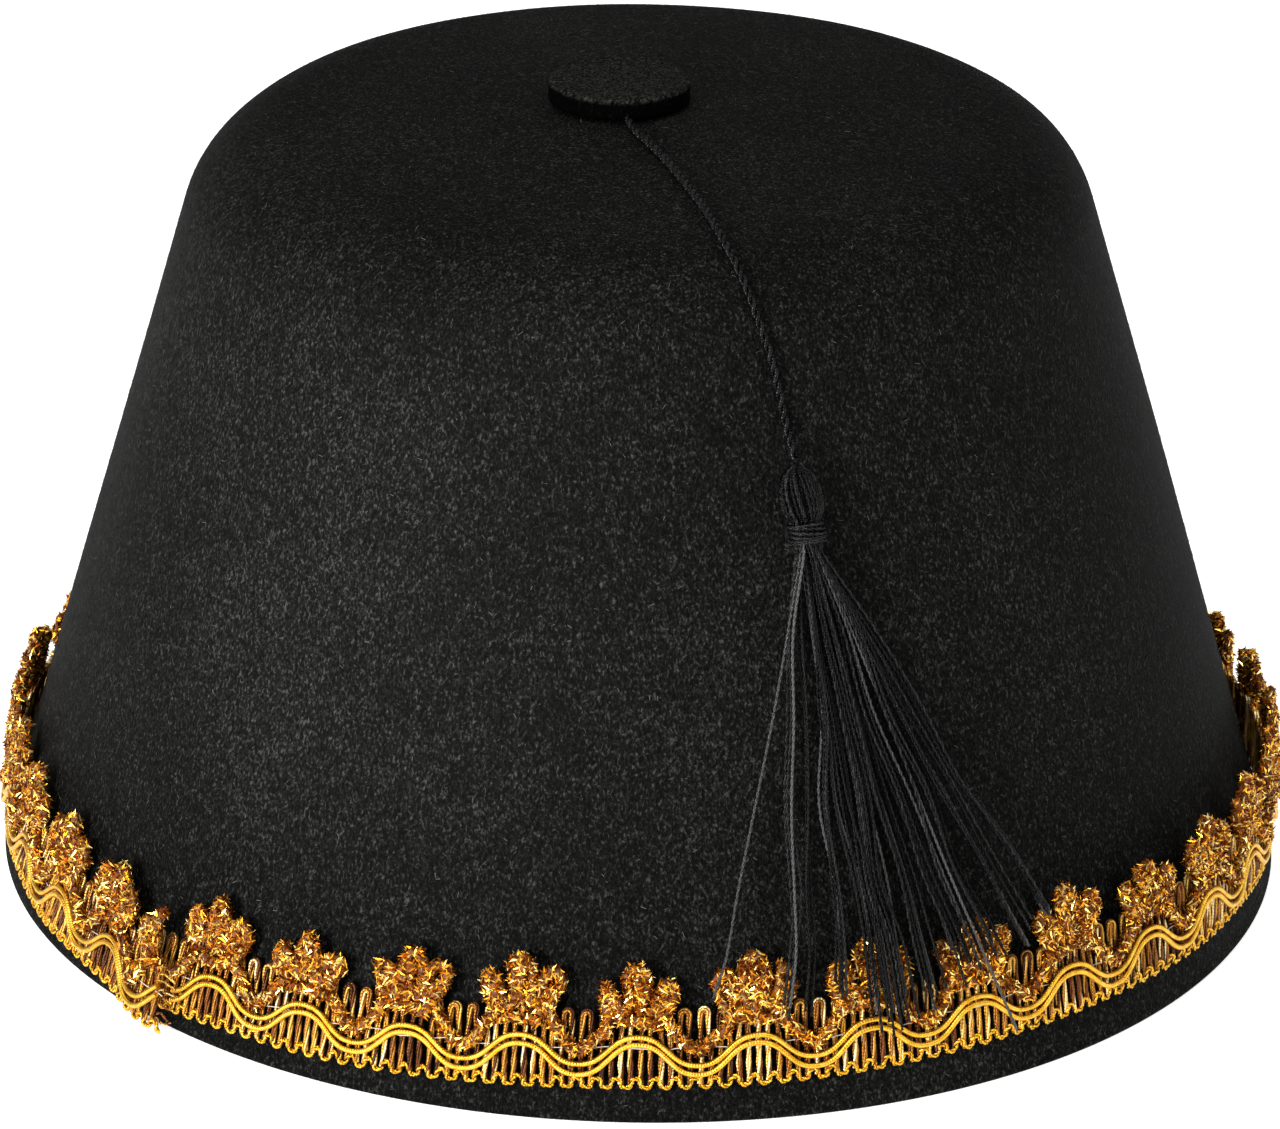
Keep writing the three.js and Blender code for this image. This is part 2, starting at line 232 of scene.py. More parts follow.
def buildYarnTree():
    # a step of 0 keeps the points of the line as they are
    tree, inlet = startTree("twistedYarn", {
        "Plies": "Int", "Ply Radius": "Float", "Lay Radius": "Float", "Turn Length": "Float",
        "Step": "Float", "Sides": "Int", "Seed": "Int", "Material": "Material"})
    host = inlet["Geometry"]
    line = host.make("GeometryNodeMeshToCurve", {}, {"Mesh": host})
    even = host.make("GeometryNodeResampleCurve", {"mode": "LENGTH"},
                     {"Curve": line, "Length": inlet["Step"]})
    kept = host.make("GeometryNodeSwitch", {"input_type": "GEOMETRY"}, {
        "Switch": inlet["Step"].maths("GREATER_THAN", inlet["Step"], 0.0), "False": line, "True": even})
    plies = host.make("GeometryNodeDuplicateElements", {"domain": "SPLINE"},
                      {"Geometry": kept, "Amount": inlet["Plies"]})
    order = plies.sibling("Duplicate Index")
    along = host.make("GeometryNodeSplineParameter", out="Length")
    turn = (along / inlet["Turn Length"] + order / inlet["Plies"]) * (2 * math.pi)
    normal = host.make("GeometryNodeInputNormal")
    tangent = host.make("GeometryNodeInputTangent")
    across = host.make("ShaderNodeVectorMath", {"operation": "CROSS_PRODUCT"}, {0: tangent, 1: normal})
    near = host.make("ShaderNodeVectorMath", {"operation": "SCALE"},
                     {0: normal, "Scale": turn.maths("COSINE", turn) * inlet["Lay Radius"]})
    side = host.make("ShaderNodeVectorMath", {"operation": "SCALE"},
                     {0: across, "Scale": turn.maths("SINE", turn) * inlet["Lay Radius"]})
    shift = host.make("ShaderNodeVectorMath", {"operation": "ADD"}, {0: near, 1: side})
    laid = host.make("GeometryNodeSetPosition", {}, {"Geometry": plies, "Offset": shift})
    index = host.make("GeometryNodeInputIndex")
    own = host.make("GeometryNodeFieldOnDomain", {"domain": "CURVE", "data_type": "INT"}, {0: index})
    laid = tagPoints(laid, "shade", chance(host, 0.0, 1.0, inlet["Seed"], own))
    laid = tagPoints(laid, "along", along)
    ring = host.make("GeometryNodeCurvePrimitiveCircle", {},
                     {"Resolution": inlet["Sides"], "Radius": inlet["Ply Radius"]})
    tube = host.make("GeometryNodeCurveToMesh", {},
                     {"Curve": laid, "Profile Curve": ring, "Fill Caps": True})
    smooth = host.make("GeometryNodeSetShadeSmooth", {}, {0: tube})
    return endTree(tree, smooth, inlet["Material"])


# Fibres: copies of one small fibre scattered over the host's faces, standing on them

def buildFibreTree():
    tree, inlet = startTree("scatteredFibres", {
        "Fibre": "Object", "Density": "Float", "Lean": "Float", "Shortest": "Float",
        "Longest": "Float", "Seed": "Int", "Material": "Material"})
    host = inlet["Geometry"]
    points = host.make("GeometryNodeDistributePointsOnFaces", {"distribute_method": "RANDOM"},
                       {"Mesh": host, "Density": inlet["Density"], "Seed": inlet["Seed"]})
    stray = host.make("FunctionNodeRandomValue", {"data_type": "FLOAT_VECTOR"},
                      {"Min": (-1, -1, -1), "Max": (1, 1, 1), "Seed": inlet["Seed"] + 1}, "Value")
    leaning = host.make("ShaderNodeVectorMath", {"operation": "SCALE"}, {0: stray, "Scale": inlet["Lean"]})
    heading = host.make("ShaderNodeVectorMath", {"operation": "ADD"},
                        {0: points.sibling("Normal"), 1: leaning})
    stand = host.make("FunctionNodeAlignRotationToVector", {"axis": "Z"}, {"Vector": heading})
    spin = host.make("FunctionNodeAxisAngleToRotation", {},
                     {"Axis": (0, 0, 1), "Angle": chance(host, 0.0, 2 * math.pi, inlet["Seed"] + 2)})
    turned = host.make("FunctionNodeRotateRotation", {"rotation_space": "LOCAL"},
                       {"Rotation": stand, "Rotate By": spin})
    size = chance(host, inlet["Shortest"], inlet["Longest"], inlet["Seed"] + 3)
    fibre = host.make("GeometryNodeObjectInfo", {"transform_space": "ORIGINAL"},
                      {"Object": inlet["Fibre"]}, "Geometry")
    placed = host.make("GeometryNodeInstanceOnPoints", {},
                       {"Points": points, "Instance": fibre, "Rotation": turned, "Scale": size})
    toned = tagPoints(placed, "shade", chance(host, 0.0, 1.0, inlet["Seed"] + 4), "INSTANCE")
    return endTree(tree, toned, inlet["Material"])


yarnTree = buildYarnTree()
fibreTree = buildFibreTree()


def addObject(name, mesh):
    piece = bpy.data.objects.new(name, mesh)
    bpy.context.scene.collection.objects.link(piece)
    return piece


def grow(name, host, tree, values):
    modifier = host.modifiers.new(tree.name, "NODES")
    modifier.node_group = tree
    for item in tree.interface.items_tree:
        if item.in_out == "INPUT" and item.name in values:
            modifier[item.identifier] = values[item.name]
    bpy.context.view_layer.update()
    graph = bpy.context.evaluated_depsgraph_get()
    mesh = bpy.data.meshes.new_from_object(host.evaluated_get(graph), depsgraph=graph)
    mesh.name = name
    bpy.data.objects.remove(host)
    return addObject(name, mesh)


def spinYarn(name, paths, sizes, material):
    places, edges = [], []
    for path in paths:
        first = len(places)
        places.extend((np.asarray(path) * mm).tolist())
        edges.extend((i, i + 1) for i in range(first, len(places) - 1))
    lines = bpy.data.meshes.new(name)
    lines.from_pydata(places, edges, [])
    values = {
        "Plies": sizes["plies"], "Ply Radius": sizes["plyRadius"] * mm, "Lay Radius": sizes["layRadius"] * mm,
        "Turn Length": sizes["turnLength"] * mm, "Step": sizes["step"] * mm, "Sides": sizes["sides"],
        "Seed": sizes["seed"], "Material": material}
    return grow(name, addObject(name + ".lines", lines), yarnTree, values)


def scatter(name, host, fibre, sizes, material):
    values = {
        "Fibre": fibre, "Density": sizes["perSquareMm"] / mm ** 2, "Lean": sizes["lean"],
        "Shortest": sizes["shortest"], "Longest": sizes["longest"], "Seed": sizes["seed"],
        "Material": material}
    piece = grow(name, host, fibreTree, values)
    bpy.data.objects.remove(fibre)
    return piece


def finishPiece(piece, slot, *nodes):
    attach(piece, body)
    if nodes:
        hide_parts(*nodes)
    faces = sum(len(polygon.vertices) - 2 for polygon in piece.data.polygons)
    print(f"{piece.name}: {faces} triangles")
    return piece


# Materials

def startMaterial(name, **constants):
    material = bpy.data.materials.new(name)
    material.use_nodes = True
    shader = material.node_tree.nodes["Principled BSDF"]
    for key, value in constants.items():
        shader.inputs[key.replace("_", " ")].default_value = value
    return material, Wire(material.node_tree), shader


def feed(shader, **wires):
    for key, wire in wires.items():
        wire.tree.links.new(wire.socket, shader.inputs[key.replace("_", " ")])


def readShade(wire, name="shade"):
    return wire.make("ShaderNodeAttribute", {"attribute_name": name}, {}, "Fac")


def tint(wire, factor, stops):
    return wire.make("ShaderNodeValToRGB", {"stops": stops}, {"Fac": factor}, "Color")


def noise(wire, place, scale, detail=3.0, roughness=0.6, distortion=0.0):
    return wire.make("ShaderNodeTexNoise", {}, {
        "Vector": place, "Scale": scale, "Detail": detail, "Roughness": roughness, "Distortion": distortion})


def bump(wire, height, strength, depth):
    return wire.make("ShaderNodeBump", {}, {
        "Height": height, "Strength": strength, "Distance": depth * mm}, "Normal")


feltLook = {
    "brushing": (1, 1, 0.6),
    "grain": (2700, 2.0, 0.6, 0.5),      # scale, detail, roughness and distortion of each noise
    "clumps": (1000, 3.0, 0.6, 0.8),
    "pressed": (30, 2.0, 0.5),
    "shares": (1.4, 0.55, 0.2),          # of grain, clumps and pressed in the tone
    "roughness": (0.66, 0.2),
    "clumpHeight": 0.7,
    "bumpDepth": 0.28,
    # how deep and how dark the painted shade on the button's side goes
    "sideShadeFade": 0.7,
    "sideShadeTone": 0.4,
}


def feltMaterial(name, tones, specular, paintedShadeBelow=None):
    material, wire, shader = startMaterial(name, Specular_IOR_Level=specular)
    place = wire.make("ShaderNodeTexCoord", {}, {}, "Object")
    brushed = wire.make("ShaderNodeMapping", {}, {"Vector": place, "Scale": feltLook["brushing"]})
    grain = noise(wire, brushed, *feltLook["grain"])
    clumps = noise(wire, brushed, *feltLook["clumps"])
    pressed = noise(wire, place, *feltLook["pressed"])
    mix = 0.5
    for part, share in zip((grain, clumps, pressed), feltLook["shares"]):
        mix = mix + (part - 0.5) * share
    if paintedShadeBelow:            # painted shade: the button's side is darkened below its top edge, where it lies in shade
        height = wire.make("ShaderNodeSeparateXYZ", {}, {"Vector": place}, "Z")
        mix = mix * wire.make("ShaderNodeMapRange", {"interpolation_type": "SMOOTHSTEP"}, {
            "Value": height, "From Min": paintedShadeBelow - feltLook["sideShadeFade"] * mm, "From Max": paintedShadeBelow,
            "To Min": feltLook["sideShadeTone"]})
    smoothest, rougher = feltLook["roughness"]
    feed(shader, Base_Color=tint(wire, mix, tones),
         Roughness=smoothest + grain * rougher,
         Normal=bump(wire, grain + clumps * feltLook["clumpHeight"], 1.0, feltLook["bumpDepth"]))
    return material


def napMaterial():
    material, wire, shader = startMaterial("feltNap", Roughness=0.6, Specular_IOR_Level=0.05)
    shade = readShade(wire)
    feed(shader, Base_Color=tint(wire, shade, [
        (0.0, (0.0004, 0.0004, 0.0004)), (0.6, (0.0025, 0.0025, 0.0023)),
        (0.95, (0.013, 0.013, 0.012)), (0.998, (0.09, 0.088, 0.08))]))
    return material


def yarnMaterial(name, tones, metallic, roughness, ribLength, ribDepth, specular=0.5, mottle=0.35):
    material, wire, shader = startMaterial(name, Metallic=metallic, Specular_IOR_Level=specular)
    shade = readShade(wire)
    along = readShade(wire, "along")
    place = wire.make("ShaderNodeTexCoord", {}, {}, "Object")
    speck = noise(wire, place, 900, 2.0)
    ribs = along.maths("SINE", along * (2 * math.pi / (ribLength * mm)))
    feed(shader, Base_Color=tint(wire, shade + (speck - 0.5) * mottle, tones),
         Roughness=roughness + speck * 0.15,
         Normal=bump(wire, ribs, 0.5, ribDepth))
    return material


def fleckMaterial():
    material, wire, shader = startMaterial("lurexFleck", Metallic=1.0, Roughness=0.3)
    shade = readShade(wire)
    feed(shader, Base_Color=tint(wire, shade, [
        (0.0, (0.08, 0.013, 0.001)), (0.34, (0.24, 0.055, 0.002)), (0.46, (0.64, 0.22, 0.009)),
        (0.72, (0.98, 0.52, 0.045)), (0.92, (1.0, 0.80, 0.30))]))
    return material


def coreMaterial():
    material, wire, shader = startMaterial("chenilleCore", Roughness=0.8)
    place = wire.make("ShaderNodeTexCoord", {}, {}, "Object")
    feed(shader, Base_Color=tint(wire, noise(wire, place, 700), [
        (0.3, (0.05, 0.011, 0.001)), (0.7, (0.20, 0.058, 0.005))]))
    return material


felt = feltMaterial("charcoalFelt", [
    (0.25, (0.0004, 0.0004, 0.0004)), (0.46, (0.0019, 0.0019, 0.0018)),
    (0.62, (0.0060, 0.0060, 0.0055)), (0.86, (0.033, 0.033, 0.030))], 0.04)
# the button's felt carries painted shade on its side, below its top edge
buttonFelt = feltMaterial("buttonFelt", [
    (0.25, (0.0003, 0.0003, 0.0003)), (0.5, (0.0060, 0.0060, 0.0056)),
    (0.85, (0.034, 0.034, 0.031))], 0.012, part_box("button")[1][2] - 0.25 * mm)
nap = napMaterial()
barYarn = yarnMaterial("braidBar", [
    (0.0, (0.040, 0.011, 0.004)), (0.28, (0.15, 0.046, 0.008)), (0.55, (0.36, 0.15, 0.018)),
    (0.8, (0.66, 0.36, 0.05)), (1.0, (0.90, 0.72, 0.36))], 0.75, 0.3, 0.5, 0.05)
goldGimp = yarnMaterial("goldGimp", [
    (0.0, (0.46, 0.20, 0.010)), (0.5, (0.66, 0.34, 0.020)), (1.0, (0.86, 0.52, 0.06))],
    0.95, 0.26, 0.4, 0.05, mottle=1.6)
paleThread = yarnMaterial("paleThread", [
    (0.0, (0.55, 0.50, 0.44)), (1.0, (0.75, 0.72, 0.68))], 0.0, 0.35, 0.6, 0.02)
blackSilk = yarnMaterial("blackSilk", [
    (0.0, (0.0003, 0.0003, 0.0003)), (0.6, (0.0010, 0.0010, 0.0010)), (0.85, (0.0050, 0.0050, 0.0050)),
    (1.0, (0.018, 0.018, 0.018))], 0.0, 0.2, 0.45, 0.05, 0.13)
# paler silk for a few threads and the strays: painted highlight in the base colour, beside a somewhat higher
# real specular
paintedGlint = yarnMaterial("paintedGlintSilk", [
    (0.0, (0.008, 0.008, 0.008)), (1.0, (0.045, 0.045, 0.044))], 0.0, 0.25, 0.45, 0.05, 0.3)
fleckGold = fleckMaterial()
fleckCore = coreMaterial()
print("materials made")


# The hat's form, in millimetres. Angles run from the front round to the right.

hat = {
    "rimRadius": 96.0,
    "cornerRadius": 62.9,    # where the side would meet the top, before the edge is rounded
    "cornerHeight": 112.8,
    "edgeRound": 17.4,
    "topTilt": 0.091,
    "feltWall": 2.0,
    "ovalShare": 0.0118,
    "ovalAngle": math.radians(45),
}
sideTilt = math.atan2(hat["rimRadius"] - hat["cornerRadius"], hat["cornerHeight"])
sideSlope = math.tan(sideTilt)


def hatPoint(angle, radius, height):
    fade = 1 - height / hat["cornerHeight"]
    stretch = 1 + hat["ovalShare"] * fade * np.cos(2 * (angle - hat["ovalAngle"]))
    return np.stack(np.broadcast_arrays(
        radius * stretch * np.sin(angle), -radius * stretch * np.cos(angle), height), axis=-1)


def sideRadius(height):
    return hat["rimRadius"] - height * sideSlope


def smoothstep(value, low, high):
    share = np.clip((value - low) / (high - low), 0, 1)
    return share * share * (3 - 2 * share)


# Crown: the same section as the solid, with a soft cut edge and a pressed line above it

crown = {
    "around": 240,
    "sideRows": 44,
    "insideRows": 12,
    "arcRows": 18,
    "domeRows": 24,
    "edgeSoft": 0.5,
    "pressedLine": {"height": 1.7, "width": 0.35, "depth": 0.2},
    "wander": 0.14,          # how far the hand-blocked side strays from true
    "strays": [              # size, waves round the hat, slant and start of each stray
        (1.0, 3, 0.031, 0.0), (0.7, 5, -0.05, 1.3), (0.5, 9, 0.08, 0.6)],
    "wanderFrom": (0, 15),   # heights and radii over which the straying sets in
    "wanderOut": (5, 60),
}


def crownProfile(inset, sideRows):
    topSlope = math.tan(hat["topTilt"])
    rim = hat["rimRadius"] - inset / math.cos(sideTilt)
    topStart = hat["cornerHeight"] + topSlope * hat["cornerRadius"] - inset / math.cos(hat["topTilt"])
    cornerZ = (topStart - topSlope * rim) / (1 - topSlope * sideSlope)
    rounding = hat["edgeRound"] - inset
    tangent = rounding * math.tan((math.pi / 2 - sideTilt - hat["topTilt"]) / 2)
    arcStart = np.array([rim - cornerZ * sideSlope, cornerZ])
    arcStart += np.array([math.sin(sideTilt), -math.cos(sideTilt)]) * tangent
    centre = arcStart - np.array([math.cos(sideTilt), math.sin(sideTilt)]) * rounding
    turn = np.linspace(sideTilt, math.pi / 2 - hat["topTilt"], crown["arcRows"])
    arc = centre + rounding * np.stack([np.cos(turn), np.sin(turn)], axis=1)
    radius = arc[-1, 0] * np.linspace(1, 0, crown["domeRows"])[1:]
    rise = topSlope * (arc[-1, 0] ** 2 - radius ** 2) / (2 * arc[-1, 0])
    dome = np.stack([radius, arc[-1, 1] + rise], axis=1)
    share = np.linspace(0, 1, sideRows) ** 1.6       # closer rows near the pressed line
    height = crown["edgeSoft"] + share * (arcStart[1] - crown["edgeSoft"])
    side = np.stack([rim - height * sideSlope, height], axis=1)[:-1]
    return np.vstack([side, arc, dome])


def cutEdge():
    soft = crown["edgeSoft"]
    inner = crownProfile(hat["feltWall"], crown["insideRows"])[0, 0] + soft
    outer = crownProfile(0, crown["sideRows"])[0, 0] - soft
    turn = np.linspace(0, math.pi / 2, 5)[1:]
    inside = np.stack([inner - soft * np.cos(turn), soft - soft * np.sin(turn)], axis=1)
    outside = np.stack([outer + soft * np.sin(turn), soft - soft * np.cos(turn)], axis=1)[:-1]
    return np.vstack([inside, [(outer, 0.0)], outside])


def lathe(name, profile, around, place):
    # closes on the axis where the first or last point of the profile is there
    angles = np.linspace(0, 2 * math.pi, around, endpoint=False)
    points, rings = [], []
    for radius, height in profile:
        if radius < 1e-6:
            rings.append([len(points)] * around)
            points.append(place(np.array([0.0]), np.array([0.0]), height)[0])
        else:
            rings.append(list(range(len(points), len(points) + around)))
            points.extend(place(angles, np.full(around, radius), height))
    faces = []
    for low, high in zip(rings[:-1], rings[1:]):
        for i in range(around):
            j = (i + 1) % around
            face = [low[i], low[j], high[j], high[i]]
            faces.append([v for k, v in enumerate(face) if v != face[k - 1]])
    mesh = bpy.data.meshes.new(name)
    mesh.from_pydata((np.array(points) * mm).tolist(), [], faces)
    mesh.shade_smooth()
    return mesh


def crownPlace(angle, radius, height):
    line = crown["pressedLine"]
    groove = line["depth"] * np.exp(-((height - line["height"]) / line["width"]) ** 2)
    groove = np.where(radius > sideRadius(height) - hat["feltWall"] / 2, groove, 0)
    stray = sum(size * np.sin(count * angle + slant * height + start)
                for size, count, slant, start in crown["strays"])
    stray = stray * crown["wander"] * smoothstep(height, *crown["wanderFrom"])
    stray = stray * smoothstep(radius, *crown["wanderOut"])
    return hatPoint(angle, radius - groove + stray, height)


def makeCrown():
    inside = crownProfile(hat["feltWall"], crown["insideRows"])[::-1]
    section = np.vstack([inside, cutEdge(), crownProfile(0, crown["sideRows"])])
    mesh = lathe("feltCrown", section, crown["around"], crownPlace)
    mesh.materials.append(felt)
    return finishPiece(addObject("feltCrown", mesh), "felt", "crown")


napFibre = {"ends": [(-0.32, 0.02), (0.32, 0.10)], "width": 0.054}


def strandStrip(name):
    # one flat face, a little higher at its far end
    half = napFibre["width"] / 2
    points = [(along, side, rise) for along, rise in napFibre["ends"] for side in (-half, half)]
    mesh = bpy.data.meshes.new(name)
    mesh.from_pydata((np.array(points) * mm).tolist(), [], [(0, 2, 3, 1)])
    mesh.shade_smooth()
    return addObject(name, mesh)


crownNap = {"perSquareMm": 1.15, "lean": 0.3, "shortest": 0.4, "longest": 1.3, "seed": 11}


def makeCrownNap():
    outside = lathe("napHost", crownProfile(0, crown["sideRows"])[2:], crown["around"], crownPlace)
    fibre = strandStrip("napFibre")
    piece = scatter("feltCrownNap", addObject("napHost", outside), fibre, crownNap, nap)
    return finishPiece(piece, "felt")


makeCrown()
makeCrownNap()


# Button: a thick felt disc, cut by hand

buttonLow, buttonHigh = (np.array(corner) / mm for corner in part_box("button"))
button = {
    "centre": (buttonLow + buttonHigh)[:2] / 2,
    "radius": (buttonHigh - buttonLow)[0] / 2,
    "foot": buttonLow[2],
    "thick": (buttonHigh - buttonLow)[2],
    "edgeSoft": 0.7,
    "around": 120,
    "wobble": 0.012,
    "shrink": 0.985,         # leaves room for the wobble inside the solid
    "lift": 0.12,
    "nap": {"perSquareMm": 1.6, "lean": 0.2, "shortest": 0.4, "longest": 0.9, "seed": 23},
}


def buttonPlace(angle, radius, height):
    wave = np.sin(2 * angle + 0.4) + 0.8 * np.sin(5 * angle + 2.0) + 0.5 * np.sin(11 * angle + height)
    spread = radius * (1 + button["wobble"] * wave)
    lift = button["lift"] * np.sin(2 * angle + 1.0) * (radius / button["radius"]) ** 2
    x = button["centre"][0] + spread * np.sin(angle)
    y = button["centre"][1] - spread * np.cos(angle)
    return np.stack(np.broadcast_arrays(x, y, button["foot"] + height + lift), axis=-1)


def makeButton():
    soft, thick, radius = button["edgeSoft"], button["thick"], button["radius"] * button["shrink"]
    turn = np.linspace(0, math.pi / 2, 6)
    low = np.stack([radius - soft + soft * np.sin(turn), soft - soft * np.cos(turn)], axis=1)
    high = np.stack([radius - soft + soft * np.cos(turn), thick - soft + soft * np.sin(turn)], axis=1)
    flat = np.linspace(0, radius - soft, 14)
    under = np.stack([flat, np.zeros_like(flat)], axis=1)[:-1]
    side = np.stack([np.full(5, radius), np.linspace(soft, thick - soft, 7)[1:-1]], axis=1)
    over = np.stack([flat[::-1], np.full_like(flat, thick)], axis=1)[1:]
    profile = np.vstack([under, low, side, high, over])
    mesh = lathe("feltButton", profile, button["around"], buttonPlace)
    mesh.materials.append(buttonFelt)
    host = addObject("buttonHost", lathe("buttonHost", over, button["around"], buttonPlace))
    fibre = strandStrip("buttonFibre")
    finishPiece(addObject("feltButton", mesh), "felt_button", "button")
    finishPiece(scatter("feltButtonNap", host, fibre, button["nap"], nap), "felt_button")


makeButton()
print("felt made")


# Trim: places along it are counted in motifs, from the middle of the first one

trim = {
    "motifs": 36,
    "motifAngle": math.radians(9.91),
    "firstAngle": math.radians(-39.5),
    "start": -0.85,          # hidden under the lap
    "end": 35.9,
    "gap": 0.4,
    "lapLift": 2.5,
    "lapFrom": 34.9,
    "lapTo": 35.7,
    "sewing": np.array([     # motif, height of the trim's lower edge above the rim, and lean from upright
        (-0.85, 2.5, 0.25), (0.5, 3.3, 0.25), (4, 4.9, 0.22), (8.3, 5.8, 0.17), (10.3, 5.2, 0.13),
        (12.5, 4.2, 0.08), (15, 4.0, 0.06), (21, 4.6, 0.12), (29.5, 4.4, 0.13), (32.6, 3.9, 0.25),
        (33.9, 2.4, 0.26), (36, 0.6, 0.24)]),
}
motifLength = trim["motifAngle"] * hat["rimRadius"]


def sewnAt(motif):
    spots, heights, leans = trim["sewing"].T
    after = np.clip(np.searchsorted(spots, motif), 1, len(spots) - 1)
    share = smoothstep(motif, spots[after - 1], spots[after])
    return [column[after - 1] + (column[after] - column[after - 1]) * share for column in (heights, leans)]


def trimPoint(motif, rise, out):
    motif, rise, out = np.broadcast_arrays(np.asarray(motif, float), rise, out)
    foot, lean = sewnAt(motif)
    lift = trim["lapLift"] * smoothstep(motif, trim["lapFrom"], trim["lapTo"])
    radius = sideRadius(foot) + trim["gap"] + lift + out - rise * np.sin(lean)
    angle = trim["firstAngle"] + motif * trim["motifAngle"]
    return hatPoint(angle, radius, foot + rise * np.cos(lean))


def curveThrough(points, steps):
    # a smooth line through given points, steps to each span
    points = np.asarray(points, float)
    ends = np.vstack([2 * points[0] - points[1], points, 2 * points[-1] - points[-2]])
    line = []
    for a, b, c, d in zip(ends[:-3], ends[1:-2], ends[2:-1], ends[3:]):
        for t in np.arange(steps) / steps:
            line.append(0.5 * (2 * b + (c - a) * t + (2 * a - 5 * b + 4 * c - d) * t * t
                               + (3 * b - a - 3 * c + d) * t ** 3))
    return np.array(line + [points[-1]])


# Ground of the braid: a yarn that goes up and down in narrow loops

bars = {
    "perMotif": 6,
    "foot": 0.9,
    "top": 11.4,
    "halfWidth": 0.68,
    "out": 0.3,
    "knees": (3.6, 6.6),
    "shoulder": 1.6,         # below the top
    "topStray": (-0.35, 0.2),
    "leanStray": (-0.18, 0.18),
    "bendStray": (0.05, 0.22),
    "outStray": (-0.06, 0.06),
    "yarn": {"plies": 4, "plyRadius": 0.23, "layRadius": 0.29, "turnLength": 11.0, "step": 0.0,
             "sides": 4, "seed": 5},
}


def barPaths():
    draw = random.Random(31)
    half = bars["halfWidth"]
    paths = []
    count = int(round((trim["end"] - trim["start"]) * bars["perMotif"]))
    for k in range(count):
        middle = trim["start"] + (k + 0.5) / bars["perMotif"]
        top = bars["top"] + draw.uniform(*bars["topStray"])
        lean = draw.uniform(*bars["leanStray"])
        bend = half - draw.uniform(*bars["bendStray"])
        left, right = ([(side * half, bars["foot"]), *((side * half + lean, knee) for knee in bars["knees"]),
                        (side * bend, top - bars["shoulder"])] for side in (-1, 1))
        turn = np.linspace(math.pi, 0, 6)
        arch = np.stack([bend * np.cos(turn), top - bend + bend * np.sin(turn)], axis=1)
        line = np.vstack([left, arch, right[::-1]])
        out = bars["out"] + draw.uniform(*bars["outStray"])
        paths.append(trimPoint(middle + line[:, 0] / motifLength, line[:, 1], out))
    return paths


finishPiece(spinYarn("braidBars", barPaths(), bars["yarn"], barYarn), "braid_ground", "trim_band")


# Lower edge of the braid: a gold cord in small scallops, one under each loop

picots = {
    "middle": 1.05,
    "swing": 0.72,
    "pinch": 0.12,
    "sway": 0.22,
    "out": 0.45,
    "outSwing": 0.1,
    "stepsPerLoop": 12,
    "yarn": {"plies": 2, "plyRadius": 0.21, "layRadius": 0.19, "turnLength": 2.2, "step": 0.28,
             "sides": 5, "seed": 6},
}


def picotPath():
    perMotif = bars["perMotif"]
    count = int(round((trim["end"] - trim["start"]) * perMotif * picots["stepsPerLoop"]))
    motif = np.linspace(trim["start"], trim["end"], count)
    phase = 2 * math.pi * (motif - trim["start"]) * perMotif
    rise = picots["middle"] + picots["swing"] * (np.cos(phase) + picots["pinch"] * np.cos(2 * phase))
    sway = picots["sway"] / motifLength * np.sin(2 * phase)
    return trimPoint(motif + sway, rise, picots["out"] + picots["outSwing"] * np.cos(phase))


finishPiece(spinYarn("braidPicots", [picotPath()], picots["yarn"], goldGimp), "cord_gold")


# Two gold cords in a wave, crest under each shell

waves = {
    "rises": {"trim_wave_upper": 5.95, "trim_wave_lower": 4.68},
    "swings": {"trim_wave_upper": 2.05, "trim_wave_lower": 2.2},
    "flatten": 0.06,         # takes the points off the crests
    "strays": [(0.10, 2.3), (0.08, 5.1)],
    "out": 1.3,
    "stepsPerMotif": 36,
    "start": -0.45,
    "end": 35.85,
    "yarn": {"plies": 1, "plyRadius": 0.39, "layRadius": 0.0, "turnLength": 5.0, "step": 0.5,
             "sides": 9, "seed": 7},
}


def wavePath(middle, swing):
    count = int((waves["end"] - waves["start"]) * waves["stepsPerMotif"])
    motif = np.linspace(waves["start"], waves["end"], count)
    turn = 2 * math.pi * motif
    slow, quick = waves["strays"]
    stray = slow[0] * np.sin(motif * slow[1] + middle) + quick[0] * np.sin(motif * quick[1])
    rise = middle + swing * (np.cos(turn) - waves["flatten"] * np.cos(3 * turn)) + stray
    return trimPoint(motif, rise, waves["out"])


for node, middle in waves["rises"].items():
    name = "gimp" + node.split("_")[-1].capitalize()
    path = wavePath(middle, waves["swings"][node])
    finishPiece(spinYarn(name, [path], waves["yarn"], goldGimp), "cord_gold", node)


# Cut end of the strip: loose ends of its yarns, past the lap

fray = {
    "rises": [2.2, 3.4, 4.7, 5.9, 6.8, 8.0, 9.1, 10.2],
    "reach": (1.0, 3.2),
    "drop": (-0.6, 1.6),
    "curl": (0.2, 0.6),
    "curlTurn": (2, 5),
    "from": -0.6,            # starts inside the strip, as a share of the reach
    "out": 0.7,
    "inward": 0.5,
    "yarn": {"plies": 2, "plyRadius": 0.12, "layRadius": 0.1, "turnLength": 1.6, "step": 0.4, "sides": 4,
             "seed": 15},
}


def frayPaths():
    draw = random.Random(63)
    lastSewn = trim["sewing"][-1, 0]
    paths = []
    for rise in fray["rises"]:
        reach, drop = draw.uniform(*fray["reach"]), draw.uniform(*fray["drop"])
        share = np.linspace(fray["from"], 1, 7)
        along = trim["end"] + share * reach / motifLength
        curl = draw.uniform(*fray["curl"]) * np.sin(share * draw.uniform(*fray["curlTurn"]))
        out = fray["out"] + curl - fray["inward"] * share
        paths.append(trimPoint(np.minimum(along, lastSewn), rise - drop * share ** 2, out))
    return paths


finishPiece(spinYarn("braidFray", frayPaths(), fray["yarn"], barYarn), "braid_ground")


# Sewing thread that holds the braid: a thin pale line across the bars

